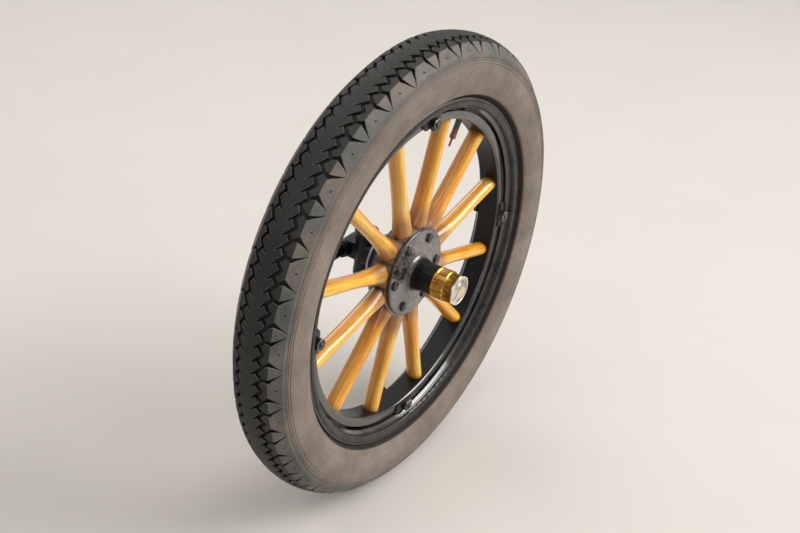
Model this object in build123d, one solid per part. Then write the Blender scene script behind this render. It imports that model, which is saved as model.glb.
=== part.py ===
from build123d import *
import math
import os

# Front road wheel of a 1920s car on its steering knuckle.
# Millimetres. The origin is the middle of the kingpin bore, +Z is up along the kingpin,
# +X points to the car's nose and -Y outboard. The wheel spins about the Y axis.

os.makedirs("parts", exist_ok=True)

# Where the wheel stands on the knuckle
wheel_offset = 75.0          # from the kingpin out to the middle plane of the tyre
wheel_roll = -2.0            # how far the wheel has rolled from spoke joints at 3 o'clock

# Tyre, a 29 x 4.40 on a 21 inch rim
tyre_radius = 368.3
tyre_width = 95.6
tread_width = 59.0           # between the edges of the tread
tread_drop = 7.3             # fall of the crown arc from its middle to the tread's edge
shoulder_drop = 21.8         # fall from the crown to the foot of the sloping shoulder
shoulder_inset = 4.9         # foot of the shoulder inside the widest point of the sidewall
sidewall_low = 19.0          # the sidewall arc ends this far above the bead seat
sidewall_low_inset = 6.4     # and this far inside the widest point
sidewall_wall = 7.0
tread_wall = 13.0
crown_inside_drop = 15.0     # fall of the casing's inside from its middle to the shoulder
bead_width = 9.0
bead_taper = 2.0             # the bead's inner face leans this much towards the casing
bead_rounding = 3.0
neck_gap = 1.0               # between the rim's lip and the tyre above it

# Rim
rim_seat_radius = 267.6      # where the tyre's beads sit
rim_lip_height = 11.0
rim_width = 69.0             # over both lips
rim_wall = 3.2
rim_bend = 1.5               # inner rounding where the section turns
lip_rounding = 1.4           # outer corner of the lip
lip_inner_rounding = 5.0
lip_groove_place = 3.4       # fine groove inside the lip's rolled edge
lip_groove_width = 1.4
lip_groove_depth = 0.7
lip_ridge_place = 7.0        # low ridge inside the rim, back from the lip's face
lip_ridge_width = 1.8
lip_ridge_height = 0.7
rim_well_depth = 4.2         # the flat middle lies this far inside the bead seats
rim_well_width = 42.0

# Felloe, a steel channel that the spokes stand in
felloe_rim_gap = 4.7         # front edge of the felloe under the rim; the lugs' noses fill it
felloe_height = 14.5
felloe_width = 40.0
felloe_wall = 3.0
felloe_rounding = 5.5
felloe_edge = 1.2            # rounding of the front edge
rim_seat_flange = 4.0        # width of the raised back edge that centres the rim

# Spokes
spoke_count = 12
spoke_width = 21.0           # across, seen from the side
spoke_depth = 26.0           # along the wheel's axis
spoke_root_width = 42.0
spoke_neck_radius = 112.0    # from here out the spoke is slender, up to an even oval halfway
spoke_neck_swell = 2.0       # it is this much thicker there than further out
spoke_swell_radius = 64.0    # here it is as wide as its root
spoke_wood_depth = 29.0      # thickness of the wood disc under the plates
spoke_wedge_radius = 74.0    # the wedge-shaped roots meet out to here
tenon_radius = 8.0
tenon_length = 7.0

# Hub
hub_bore_in_wood = 24.2      # barrel radius where it passes through the wood
hub_barrel_radius = 23.6
hub_barrel_end = 60.0        # front end of the bare barrel, from the tyre's middle plane
hub_nose_radius = 21.8       # threaded nose that carries the cap
hub_nose_length = 12.0
hub_waist_radius = 16.5      # bore between the bearings
hub_bell_radius = 38.0       # housing of the inner bearing
hub_bell_end = 44.0          # back end of the housing, from the tyre's middle plane
flange_radius = 70.0
flange_wall = 5.0
bell_fillet = 4.0            # between the bell and the back flange
plate_wall = 5.1
plate_edge = 2.4             # rounding of the plate's rim
plate_collar_radius = 26.6
plate_collar_height = 13.0
plate_collar_draft = 1.1     # the collar is this much slimmer at its front
plate_collar_fillet = 11.0   # where the plate flares into the collar

# Hub bolts
hub_bolt_count = 6
hub_bolt_circle = 56.0       # radius
hub_bolt_radius = 4.75
hub_bolt_head = 14.3         # across flats
hub_bolt_head_height = 4.0
hub_bolt_end = 2.0           # thread beyond the nut

# Wheel bearings, spindle and its nut
inner_journal_radius = 15.0
outer_journal_radius = 10.0
inner_bearing_radius = 31.0
outer_bearing_radius = 19.6
inner_bearing_width = 18.0
outer_bearing_width = 16.0
outer_bearing_place = 26.0   # back face, from the tyre's middle plane
spindle_thread_radius = 8.0
spindle_nut_size = 24.0      # across flats
spindle_nut_height = 12.0
spindle_end = 3.0            # thread beyond the nut
spindle_root_radius = 23.0
spindle_root_start = 5.0     # outboard of the kingpin's axis
seal_collar_radius = 20.0
seal_collar_fillet = 3.0     # where the spindle's collar meets its tapered root
seal_width = 4.0

# Hub cap
cap_wall = 2.4
cap_inside_radius = 19.4
cap_end_wall = 3.0
cap_seat_depth = 13.0        # of the threaded nose inside the skirt
cap_skirt_length = 22.0
cap_hexagon = 43.0           # across flats
cap_hexagon_length = 12.0
cap_face_radius = 25.0
cap_face_length = 5.0
cap_face_edge = 1.4          # rounding of the face's rim
cap_inside_rounding = 2.0
cap_disc_radius = 21.5
cap_disc_wall = 1.8
cap_disc_edge = 1.0          # thickness outside the low boss
cap_disc_boss = 13.0         # radius of the boss
cap_disc_draft = 1.0         # the boss is this much slimmer at its front

# Rim lugs
lug_count = 4
lug_width = 46.0
lug_wall = 4.0
lug_turn = 0.7               # degrees from a spoke joint to the lug's bolt
lug_inset = 1.0              # its foot starts this far out from the felloe's inside
lug_nose = 12.0              # how far its wedge reaches under the rim
lug_edge = 1.5               # rounding of the lug's outer corners
lug_thread_end = 1.6         # bolt beyond the nut
lug_bolt_radius = 4.1
lug_nut_size = 17.5          # across flats
lug_nut_height = 8.0
lug_head_height = 6.0

# Tyre valve
valve_radius = 3.2
valve_tip_radius = 1.8
valve_reach = 44.0           # from the felloe towards the hub
valve_tip_length = 12.0
valve_nut_size = 9.5         # across flats
valve_nut_height = 9.0
valve_joint = 2              # the spoke joint beside it, counted from 3 o'clock
valve_shift = -5.0           # inboard of the tyre's middle plane
valve_foot_radius = 8.0      # plate inside the rim
valve_foot_wall = 2.0

# Steering knuckle
kingpin_radius = 6.35
knuckle_radius = 19.0
knuckle_height = 76.0
knuckle_waist = 2.0          # the boss is this much slimmer at its middle
bush_wall = 2.4
bush_length = 25.0
bush_flange_radius = 15.0
bush_flange_wall = 2.0

# Steering arm
arm_shank_radius = 8.0
arm_boss_radius = 13.5
arm_boss_length = 38.0
arm_boss_place = 31.0        # inboard of the kingpin
arm_reach = 152.0            # from the kingpin back to the eye
arm_turn_in = 22.0           # the eye lies this much further inboard than the boss
arm_drop = 26.0              # the eye lies this much lower than the boss
arm_width = 20.0
arm_depth = 13.0
arm_eye_radius = 14.0
arm_eye_height = 20.0
arm_eye_bore = 6.4
arm_bend_radius = 38.0
arm_straight = 44.0          # runs straight back this far before it turns
arm_eye_straight = 34.0
arm_collar_radius = 12.0
arm_collar_wall = 6.0
arm_web_width = 26.0         # web between the kingpin boss and the arm's boss
arm_web_inset = 2.0          # the web starts this far under the kingpin boss's skin
arm_nut_size = 22.0          # across flats
arm_nut_height = 12.0
arm_thread_end = 3.0

# Finish of edges
turned_edge = 1.0            # rounding of plain turned edges
fine_edge = 0.3
nut_chamfer = 0.9            # share of a nut's corner that its chamfer takes

# Clearances
running_clearance = 0.03     # pins and journals
seat_clearance = 0.1         # what is pressed or bolted together
spoke_clearance = 0.15       # between neighbouring wedges
felloe_gap = 0.35            # flat shoulders under the felloe's curved inside
valve_hole_clearance = 1.0
seal_clearance = 0.5
nut_clearance = 0.4          # between the spindle nut and the outer bearing

# Worked out from the above
joint_angle = 360.0 / spoke_count
rim_lip_radius = rim_seat_radius + rim_lip_height
rim_inside = rim_seat_radius - rim_well_depth - rim_wall
felloe_outer = rim_inside - felloe_rim_gap
felloe_radius = felloe_outer - felloe_height
wood_front = spoke_wood_depth / 2
plate_front = wood_front + plate_wall
flange_back = -wood_front - flange_wall
seal_back = -hub_bell_end - seal_width
bush_radius = kingpin_radius + running_clearance + bush_wall
lug_circle = felloe_radius + felloe_wall + seat_clearance + lug_bolt_radius
cap_back = hub_barrel_end
cap_shoulder = cap_back + cap_skirt_length
cap_neck = cap_shoulder + cap_hexagon_length
cap_front = cap_neck + cap_face_length


def section(*corners):
    """A closed outline of corners (radius, distance outboard of the tyre's middle, rounding)."""
    face = make_face(Polyline(*[(r, -out) for r, out, _ in corners], close=True))
    for r, out, rounding in corners:
        if rounding:
            corner = min(face.vertices(), key=lambda v: math.hypot(v.X - r, v.Y + out))
            face = fillet(corner, rounding)
    return face


def turned(face):
    """A section turned about the spin axis, in its place on the wheel."""
    return Pos(0, -wheel_offset, 0) * revolve(face, Axis.Y)


def on_wheel(shape, angle, radius=0.0, out=0.0):
    """A shape with +Z outwards, set at an angle up from 3 o'clock on the wheel."""
    return Pos(0, -wheel_offset - out, 0) * Rot(0, 90 - angle - wheel_roll, 0) * Pos(0, 0, radius) * shape


def along_axis(shape):
    """A shape that stands on +Z laid down so that it points outboard."""
    return Rot(90, 0, 0) * shape


def cylinder(radius, length, start=0.0):
    return Pos(0, 0, start) * Cylinder(radius, length, align=(Align.CENTER, Align.CENTER, Align.MIN))


def hexagon(across_flats, height, start=0.0, chamfered=True):
    """A hexagonal prism on +Z, its far corners chamfered as a nut's are."""
    prism = extrude(RegularPolygon(across_flats / 2, 6, major_radius=False), height)
    if chamfered:
        corner = across_flats / math.sqrt(3)
        cut = (corner - across_flats / 2) * nut_chamfer
        prism &= cylinder(corner, height) - Pos(0, 0, height) * (
            Cylinder(corner + 1, 2 * cut) - Cone(corner + cut, corner - cut, 2 * cut))
    return Pos(0, 0, start) * prism


def save(name, shape):
    export_step(shape, f"parts/{name}.step")


def tyre():
    """Hollow casing: crown arc, sloping shoulders and sidewall arcs outside, beads on the rim."""
    half = tyre_width / 2
    edge = (tyre_radius - tread_drop, tread_width / 2)
    shoulder = (tyre_radius - shoulder_drop, half - shoulder_inset)
    low = (rim_seat_radius + sidewall_low, half - sidewall_low_inset)
    waist = ((shoulder[0] + low[0]) / 2, half)
    bead_out = rim_width / 2 - rim_wall - seat_clearance
    bead_in = bead_out - bead_width
    seat = rim_seat_radius + seat_clearance
    neck = (rim_lip_radius + neck_gap, bead_out)
    inside = (waist[0], half - sidewall_wall)
    crown_inside = tyre_radius - tread_wall
    inner_shoulder = (crown_inside - crown_inside_drop, shoulder[1] - sidewall_wall)
    inner_low = (low[0], bead_in + bead_taper)

    def spot(point, side):
        return (point[0], -side * point[1])

    edges = []
    for side in (1, -1):
        edges += [
            Line(spot(edge, side), spot(shoulder, side)),
            ThreePointArc(spot(shoulder, side), spot(waist, side), spot(low, side)),
            Line(spot(low, side), spot(neck, side)),
            Line(spot(neck, side), spot((seat, bead_out), side)),
            Line(spot((seat, bead_out), side), spot((seat, bead_in), side)),
            Line(spot((seat, bead_in), side), spot(inner_low, side)),
            ThreePointArc(spot(inner_low, side), spot(inside, side), spot(inner_shoulder, side)),
        ]
    edges.append(ThreePointArc(spot(edge, 1), (tyre_radius, 0), spot(edge, -1)))
    edges.append(ThreePointArc(spot(inner_shoulder, 1), (crown_inside, 0), spot(inner_shoulder, -1)))
    face = make_face(edges)
    for side in (1, -1):
        heel = min(face.vertices(), key=lambda v: math.hypot(v.X - seat, v.Y + side * bead_out))
        face = fillet(heel, bead_rounding)
    return turned(face)


def rim():
    """Steel rim in one piece: flat well, bead seats and two lips with rolled edges."""
    well = rim_seat_radius - rim_well_depth
    lip = rim_width / 2
    half_well = rim_well_width / 2
    shelf = half_well + rim_well_depth
    wall = rim_seat_radius - rim_wall
    groove_top = rim_lip_radius - lip_groove_place
    groove_foot = groove_top - lip_groove_width
    groove_floor = lip - lip_groove_depth
    ridge = lip - lip_ridge_place
    crest = wall - lip_ridge_height
    tyre_side = [(well, half_well - rim_well_depth, 0), (rim_seat_radius, half_well, rim_bend),
                 (rim_seat_radius, lip - rim_wall, rim_bend), (rim_lip_radius, lip - rim_wall, turned_edge)]
    hub_side = [(rim_lip_radius, lip, lip_rounding), (groove_top, lip, 0),
                (groove_top - lip_groove_depth / 2, groove_floor, 0), (groove_foot, groove_floor, 0),
                (groove_foot - lip_groove_depth / 2, lip, 0), (wall, lip, lip_inner_rounding),
                (wall, ridge, 0), (crest, ridge - lip_ridge_height, 0),
                (crest, ridge - lip_ridge_width, 0), (wall, ridge - lip_ridge_width - lip_ridge_height, 0),
                (wall, shelf, 0), (rim_inside, half_well, rim_bend)]
    half = tyre_side + hub_side
    return turned(section(*half, *[(r, -out, rounding) for r, out, rounding in reversed(half)]))


def felloe():
    """Channel that opens outwards; its back edge is raised to centre the rim."""
    half = felloe_width / 2
    seat = rim_inside - seat_clearance
    floor = felloe_radius + felloe_wall
    inner_rounding = felloe_rounding - felloe_wall
    channel = turned(section(
        (felloe_radius, half, felloe_rounding), (felloe_outer, half, felloe_edge),
        (felloe_outer, half - felloe_wall, felloe_edge), (floor, half - felloe_wall, inner_rounding),
        (floor, -half + rim_seat_flange, inner_rounding), (seat, -half + rim_seat_flange, 0),
        (seat, -half, 0), (felloe_radius, -half, felloe_rounding)))
    for k in range(spoke_count):
        hole = cylinder(tenon_radius + seat_clearance, felloe_height, felloe_radius - felloe_wall)
        channel -= on_wheel(hole, (k + 0.5) * joint_angle)
    for k in range(lug_count):
        hole = along_axis(Cylinder(lug_bolt_radius + seat_clearance, 2 * felloe_width))
        channel -= on_wheel(hole, k * 360 / lug_count + lug_turn, lug_circle)
    return channel - valve_hole()


def valve_hole():
    """Clearance hole for the valve through the felloe and the rim."""
    hole = cylinder(valve_radius + valve_hole_clearance, rim_lip_radius - felloe_radius)
    return on_wheel(hole, valve_joint * joint_angle, felloe_radius - felloe_wall, valve_shift)


def hub_bolt_hole(k):
    hole = along_axis(Cylinder(hub_bolt_radius + seat_clearance, 2 * spoke_wood_depth))
    return on_wheel(hole, k * 360 / hub_bolt_count, hub_bolt_circle)


def spoke():
    """One spoke on +Z: a wedge root in the wood disc, an oval body and a tenon."""
    body_end = felloe_radius - felloe_gap
    body = loft([
        Pos(0, 0, r) * Ellipse(width / 2, depth / 2) for r, width, depth in (
            (spoke_swell_radius, spoke_root_width, spoke_wood_depth),
            (spoke_neck_radius, spoke_width + spoke_neck_swell, spoke_depth + spoke_neck_swell),
            ((spoke_neck_radius + body_end) / 2, spoke_width, spoke_depth),
            (body_end, spoke_width, spoke_depth))])
    half_angle = math.radians(joint_angle / 2)
    apex = spoke_clearance / 2 / math.sin(half_angle)
    reach = (felloe_radius - apex) * math.tan(half_angle)
    wedge = extrude(Plane.XZ * make_face(Polyline(
        (0, apex), (reach, felloe_radius), (-reach, felloe_radius), close=True)), spoke_wood_depth, both=True)
    disc = Cylinder(spoke_wedge_radius, spoke_wood_depth)
    disc -= Cylinder(hub_bore_in_wood + seat_clearance, spoke_wood_depth)
    return (along_axis(disc) & wedge) + (body & wedge) + cylinder(tenon_radius, tenon_length, body_end)


def rim_with_valve_hole():
    return rim() - valve_hole()


def hub():
    """Turned hub: bell over the inner bearing, back flange, barrel through the wood, threaded nose."""
    inner_seat = inner_bearing_radius + seat_clearance
    outer_seat = outer_bearing_radius + seat_clearance
    inner_place = -hub_bell_end + inner_bearing_width
    in_wood = hub_bore_in_wood
    collar_end = plate_front + plate_collar_height
    nose_end = hub_barrel_end + hub_nose_length
    body = turned(section(
        (inner_seat, -hub_bell_end, 0), (hub_bell_radius, -hub_bell_end, turned_edge),
        (hub_bell_radius, flange_back, bell_fillet), (flange_radius, flange_back, turned_edge),
        (flange_radius, -wood_front, 0), (in_wood, -wood_front, 0), (in_wood, collar_end, fine_edge),
        (hub_barrel_radius, collar_end, 0), (hub_barrel_radius, hub_barrel_end, 0),
        (hub_nose_radius, hub_barrel_end, 0), (hub_nose_radius, nose_end, turned_edge),
        (outer_seat, nose_end, 0), (outer_seat, outer_bearing_place, 0),
        (hub_waist_radius, outer_bearing_place, 0), (hub_waist_radius, inner_place, 0),
        (inner_seat, inner_place, 0)))
    for k in range(hub_bolt_count):
        body -= hub_bolt_hole(k)
    return body


def hub_plate():
    """Front plate over the wood, with a collar that fillets into the barrel."""
    bore = hub_bore_in_wood + seat_clearance
    collar_end = plate_front + plate_collar_height
    plate = turned(section(
        (bore, wood_front, 0), (flange_radius, wood_front, 0), (flange_radius, plate_front, plate_edge),
        (plate_collar_radius, plate_front, plate_collar_fillet),
        (plate_collar_radius - plate_collar_draft, collar_end, fine_edge), (bore, collar_end, 0)))
    for k in range(hub_bolt_count):
        plate -= hub_bolt_hole(k)
    return plate


def hub_bolts():
    """Headed bolts through plate, wood and flange, each with its nut at the back."""
    bolt = hexagon(hub_bolt_head, hub_bolt_head_height, plate_front)
    bolt += cylinder(hub_bolt_radius, plate_front - flange_back + hub_bolt_end + hub_bolt_head_height,
                     flange_back - hub_bolt_end - hub_bolt_head_height)
    bolt += Rot(180, 0, 0) * hexagon(hub_bolt_head, hub_bolt_head_height, -flange_back)
    bolt = along_axis(bolt)
    return [on_wheel(bolt, k * 360 / hub_bolt_count, hub_bolt_circle) for k in range(hub_bolt_count)]


def ring(inner, outer, start, end):
    return turned(section((inner, start, turned_edge), (outer, start, turned_edge),
                          (outer, end, turned_edge), (inner, end, turned_edge)))


def hub_cap():
    """Screwed cap: round skirt, hexagon for the spanner and a flanged face with a recess."""
    inside = hub_nose_radius + seat_clearance
    skirt = inside + cap_wall
    recess = cap_front - cap_disc_wall
    end = recess - cap_end_wall
    seat_end = cap_back + cap_seat_depth
    cap = turned(section((0, cap_back, 0), (skirt, cap_back, turned_edge),
                         (skirt, cap_shoulder, turned_edge), (0, cap_shoulder, 0)))
    cap += on_wheel(along_axis(hexagon(cap_hexagon, cap_hexagon_length, cap_shoulder, False)), 0)
    cap += turned(section((0, cap_neck, 0), (cap_face_radius, cap_neck, turned_edge),
                          (cap_face_radius, cap_front, cap_face_edge), (0, cap_front, 0)))
    cap -= turned(section((0, cap_back, 0), (inside, cap_back, 0), (inside, seat_end, 0),
                          (cap_inside_radius, seat_end, 0), (cap_inside_radius, end, cap_inside_rounding),
                          (0, end, 0)))
    return cap - turned(section((0, recess, 0), (cap_disc_radius, recess, 0),
                                (cap_disc_radius, cap_front, 0), (0, cap_front, 0)))


def hub_cap_disc():
    """Plain disc let into the cap's face, with a low round boss."""
    back = cap_front - cap_disc_wall
    edge = cap_disc_radius - seat_clearance
    step = back + cap_disc_edge
    return turned(section((0, back, 0), (edge, back, 0), (edge, step, fine_edge),
                          (cap_disc_boss, step, 0), (cap_disc_boss - cap_disc_draft, cap_front, fine_edge),
                          (0, cap_front, 0)))


def rim_lugs():
    """Clamps on the felloe's front whose noses wedge the rim on."""
    front = felloe_width / 2
    foot = felloe_radius + lug_inset
    tip = rim_inside - seat_clearance
    under = felloe_outer + seat_clearance
    clamp = turned(section((foot, front, 0), (under, front, 0), (under, front - lug_nose, 0),
                           (tip, front - lug_nose, turned_edge), (tip, front + lug_wall, lug_edge),
                           (foot, front + lug_wall, lug_edge)))
    hole = along_axis(Cylinder(lug_bolt_radius + seat_clearance, 2 * felloe_width))
    lugs = []
    for k in range(lug_count):
        angle = k * 360 / lug_count + lug_turn
        cut = on_wheel(Box(lug_width, 2 * felloe_width, 4 * felloe_height), angle, lug_circle)
        lugs.append((clamp & cut) - on_wheel(hole, angle, lug_circle))
    return lugs


def lug_bolts():
    """Bolts through the felloe with a head at the back and a nut on each lug."""
    back = -felloe_width / 2
    front = felloe_width / 2 + lug_wall
    bolt = Rot(180, 0, 0) * hexagon(lug_nut_size, lug_head_height, -back)
    bolt += cylinder(lug_bolt_radius, front - back + lug_nut_height + lug_thread_end, back)
    bolt += hexagon(lug_nut_size, lug_nut_height, front)
    bolt = along_axis(bolt)
    return [on_wheel(bolt, k * 360 / lug_count + lug_turn, lug_circle) for k in range(lug_count)]


def valve():
    """Metal valve stem through rim and felloe, with its nut and a slimmer tip."""
    seat = felloe_radius - felloe_gap
    tip = felloe_radius - valve_reach
    stem = cylinder(valve_tip_radius, valve_tip_length, tip)
    foot = rim_seat_radius - rim_well_depth + seat_clearance
    stem += cylinder(valve_radius, foot - tip - valve_tip_length, tip + valve_tip_length)
    stem += hexagon(valve_nut_size, valve_nut_height, seat - valve_nut_height)
    stem += cylinder(valve_foot_radius, valve_foot_wall, foot)
    return on_wheel(stem, valve_joint * joint_angle, 0, valve_shift)


def steering_knuckle():
    """Forging: kingpin boss, tapered spindle outboard and the steering arm's boss inboard."""
    half = knuckle_height / 2
    waist = knuckle_radius - knuckle_waist
    boss_edge = make_face([
        Line((0, -half), (knuckle_radius, -half)),
        ThreePointArc((knuckle_radius, -half), (waist, 0), (knuckle_radius, half)),
        Line((knuckle_radius, half), (0, half)), Line((0, half), (0, -half))])
    body = revolve(Plane.XZ * boss_edge, Axis.Z)
    root = spindle_root_start - wheel_offset
    shoulder = seal_back - seal_width
    inner_place = -hub_bell_end + inner_bearing_width
    outer_end = outer_bearing_place + outer_bearing_width
    nut_end = outer_end + nut_clearance + spindle_nut_height
    body += turned(section(
        (0, root, 0), (spindle_root_radius, root, 0),
        (seal_collar_radius, shoulder, seal_collar_fillet),
        (seal_collar_radius, -hub_bell_end - nut_clearance, turned_edge),
        (inner_journal_radius, -hub_bell_end - nut_clearance, 0), (inner_journal_radius, inner_place, 0),
        (outer_journal_radius, outer_bearing_place, 0), (outer_journal_radius, outer_end, 0),
        (spindle_thread_radius, outer_end, 0), (spindle_thread_radius, nut_end + spindle_end, turned_edge),
        (0, nut_end + spindle_end, 0)))
    bosses = Circle(waist - arm_web_inset).edges()
    bosses += (Pos(arm_boss_place, 0) * Circle(arm_boss_radius)).edges()
    body += extrude(Plane.YZ * make_hull(bosses), arm_web_width / 2, both=True)
    body += Pos(0, arm_boss_place, 0) * Rot(0, 90, 0) * Cylinder(arm_boss_radius, arm_boss_length)
    body -= Cylinder(bush_radius + seat_clearance, 2 * knuckle_height)
    shank_hole = Cylinder(arm_shank_radius + seat_clearance, 2 * arm_boss_length)
    return body - Pos(0, arm_boss_place, 0) * Rot(0, 90, 0) * shank_hole


def bush():
    """Flanged kingpin bush, standing on +Z with its flange at the top end of the boss."""
    half = knuckle_height / 2
    outline = make_face(Polyline(
        (kingpin_radius + running_clearance, half - bush_length), (bush_radius, half - bush_length),
        (bush_radius, half), (bush_flange_radius, half), (bush_flange_radius, half + bush_flange_wall),
        (kingpin_radius + running_clearance, half + bush_flange_wall), close=True))
    return revolve(Plane.XZ * outline, Axis.Z)


def steering_arm():
    """Forged arm: shank through its boss, a swept body and the tie rod eye."""
    back = -arm_boss_length / 2
    eye = Vector(-arm_reach, arm_boss_place + arm_turn_in, -arm_drop)
    start = Vector(back, arm_boss_place, 0)
    path = FilletPolyline(start, start + Vector(-arm_straight, 0, 0),
                          eye + Vector(arm_eye_straight, 0, 0), eye, radius=arm_bend_radius)
    across = Plane(start, x_dir=(0, 0, 1), z_dir=(-1, 0, 0))
    body = sweep(across * Ellipse(arm_width / 2, arm_depth / 2), path)
    collar = Rot(0, 90, 0) * Cylinder(arm_collar_radius, arm_collar_wall)
    body += Pos(start.X - arm_collar_wall / 2, start.Y, 0) * collar
    shank = arm_boss_length + arm_nut_height + arm_thread_end
    body += Pos(back + shank / 2, arm_boss_place, 0) * Rot(0, 90, 0) * Cylinder(arm_shank_radius, shank)
    body += Pos(*eye) * Cylinder(arm_eye_radius, arm_eye_height)
    return body - Pos(*eye) * Cylinder(arm_eye_bore, 2 * arm_eye_height)


def arm_nut():
    nut = hexagon(arm_nut_size, arm_nut_height)
    nut -= Cylinder(arm_shank_radius + seat_clearance, 4 * arm_nut_height)
    return Pos(arm_boss_length / 2, arm_boss_place, 0) * Rot(0, 90, 0) * nut


def spindle_nut():
    nut = hexagon(spindle_nut_size, spindle_nut_height)
    nut -= Cylinder(spindle_thread_radius + seat_clearance, 4 * spindle_nut_height)
    place = outer_bearing_place + outer_bearing_width + nut_clearance
    return Pos(0, -wheel_offset - place, 0) * along_axis(nut)


save("steering_knuckle", steering_knuckle())
save("kingpin_bush_upper", bush())
save("kingpin_bush_lower", Rot(180, 0, 0) * bush())
save("steering_arm", steering_arm())
save("steering_arm_nut", arm_nut())
save("spindle_nut", spindle_nut())

save("hub", hub())
save("inner_bearing", ring(inner_journal_radius + running_clearance, inner_bearing_radius,
                           -hub_bell_end, -hub_bell_end + inner_bearing_width))
save("outer_bearing", ring(outer_journal_radius + running_clearance, outer_bearing_radius,
                           outer_bearing_place, outer_bearing_place + outer_bearing_width))
save("grease_seal", ring(seal_collar_radius + seal_clearance, hub_bell_radius, seal_back, -hub_bell_end))
save("hub_plate", hub_plate())
save("hub_bolts", Compound(hub_bolts()))
save("hub_cap", hub_cap())
save("hub_cap_disc", hub_cap_disc())
save("felloe", felloe())
save("rim", rim_with_valve_hole())
save("rim_lugs", Compound(rim_lugs()))
save("lug_bolts", Compound(lug_bolts()))
save("tyre", tyre())
save("valve", valve())
blank = spoke()
for k in range(spoke_count):
    near_bolt = (k + 1) // 2
    save(f"spoke_{k + 1:02d}", on_wheel(blank, (k + 0.5) * joint_angle) - hub_bolt_hole(near_bolt))
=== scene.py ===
"""Looks of a wood-spoked front wheel on its steering knuckle.

Metres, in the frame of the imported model: the wheel spins about the Y axis, -Y is outboard,
+X forward and +Z up. An angle on the wheel is measured up from 3 o'clock, seen from outboard.
"""

import math

import bmesh
import bpy
from mathutils import Euler, Matrix, Vector


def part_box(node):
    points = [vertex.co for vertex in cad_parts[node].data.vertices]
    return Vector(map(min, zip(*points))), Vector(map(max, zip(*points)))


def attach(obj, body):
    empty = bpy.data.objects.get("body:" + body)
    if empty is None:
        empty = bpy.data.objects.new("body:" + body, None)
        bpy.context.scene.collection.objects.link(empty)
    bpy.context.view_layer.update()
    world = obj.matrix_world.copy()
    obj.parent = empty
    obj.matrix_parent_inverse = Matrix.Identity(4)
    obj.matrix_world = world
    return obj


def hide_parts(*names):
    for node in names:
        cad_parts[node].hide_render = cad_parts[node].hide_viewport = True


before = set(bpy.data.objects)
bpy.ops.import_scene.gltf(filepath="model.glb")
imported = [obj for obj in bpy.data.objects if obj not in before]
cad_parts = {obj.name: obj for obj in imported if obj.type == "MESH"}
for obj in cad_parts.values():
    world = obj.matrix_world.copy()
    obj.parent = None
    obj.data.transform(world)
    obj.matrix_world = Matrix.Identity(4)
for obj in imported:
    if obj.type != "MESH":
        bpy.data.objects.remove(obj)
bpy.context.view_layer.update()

MM = 0.001

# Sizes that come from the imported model
tyre_low, tyre_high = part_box("tyre")
AXLE = (tyre_low + tyre_high) / 2
TYRE_RADIUS = (tyre_high.z - tyre_low.z) / 2
TYRE_HALF = (tyre_high.y - tyre_low.y) / 2


def span(node):
    """Back and front of a node as distances outboard of the tyre's middle plane."""
    low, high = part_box(node)
    return AXLE.y - high.y, AXLE.y - low.y


def radius_of(node):
    """The outer radius of a node that is round about the axle."""
    low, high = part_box(node)
    return (high.x - low.x) / 2


RIM_RADIUS = radius_of("rim")
RIM_HALF = span("rim")[1]
CAP_BACK, CAP_FRONT = span("hub_cap")
CAP_RADIUS = radius_of("hub_cap")
CAP_DISC_SEAT = span("hub_cap_disc")[0]
HUB_BOLT_BACK, HUB_BOLT_FRONT = span("hub_bolts")
LUG_BOLT_BACK, LUG_BOLT_FRONT = span("lug_bolts")
FELLOE_FRONT = span("felloe")[1]
LUG_FRONT = span("rim_lugs")[1]
RIM_INSIDE = radius_of("rim_lugs")
PLATE_RADIUS = radius_of("hub_plate")

# Tyre: places on its section are (radius, distance from the middle plane)
TREAD_EDGE = (TYRE_RADIUS - 7.3 * MM, 29.5 * MM)
SHOULDER_FOOT = (TYRE_RADIUS - 21.8 * MM, 42.9 * MM)
SIDEWALL_LOW = (RIM_RADIUS + 8 * MM, TYRE_HALF - 6.4 * MM)
INNER_CROWN = (TYRE_RADIUS - 28 * MM, 33 * MM)          # where the inside turns in under the tread
SIDE_MIDDLE = (SHOULDER_FOOT[0] + SIDEWALL_LOW[0]) / 2
BEAD_FACE = RIM_HALF - 3.3 * MM
BEAD_NECK = RIM_RADIUS + 1 * MM
BEAD_HEEL = RIM_RADIUS - 9 * MM
BEAD_SEAT = RIM_RADIUS - 10.9 * MM
BEAD_CHAMFER = 2 * MM
BEAD_WIDTH = 9 * MM
CASING_WALL = 7 * MM
TREAD_WALL = 13 * MM
STRIP_END = 4.0 * MM         # the tread's mesh runs on this far down the sidewall
SIDE_LINES = (5.6 * MM, 9.2 * MM, 13.7 * MM)            # fine moulded lines, from the shoulder's foot
SIDE_LINE_HALF = 0.8 * MM
SIDE_LINE_DEPTH = 0.9 * MM
SIDE_STEPS = 16
INNER_STEPS = 6

# Tread: the crown's arc, the straight shoulder and the flat strip that is laid over both
CROWN_DROP = TYRE_RADIUS - TREAD_EDGE[0]
CROWN_ARC = (CROWN_DROP ** 2 + TREAD_EDGE[1] ** 2) / (2 * CROWN_DROP)
TREAD_HALF = CROWN_ARC * math.asin(TREAD_EDGE[1] / CROWN_ARC)
SHOULDER_RUN = math.dist(TREAD_EDGE, SHOULDER_FOOT)
STRIP_HALF = TREAD_HALF + SHOULDER_RUN + STRIP_END

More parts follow.
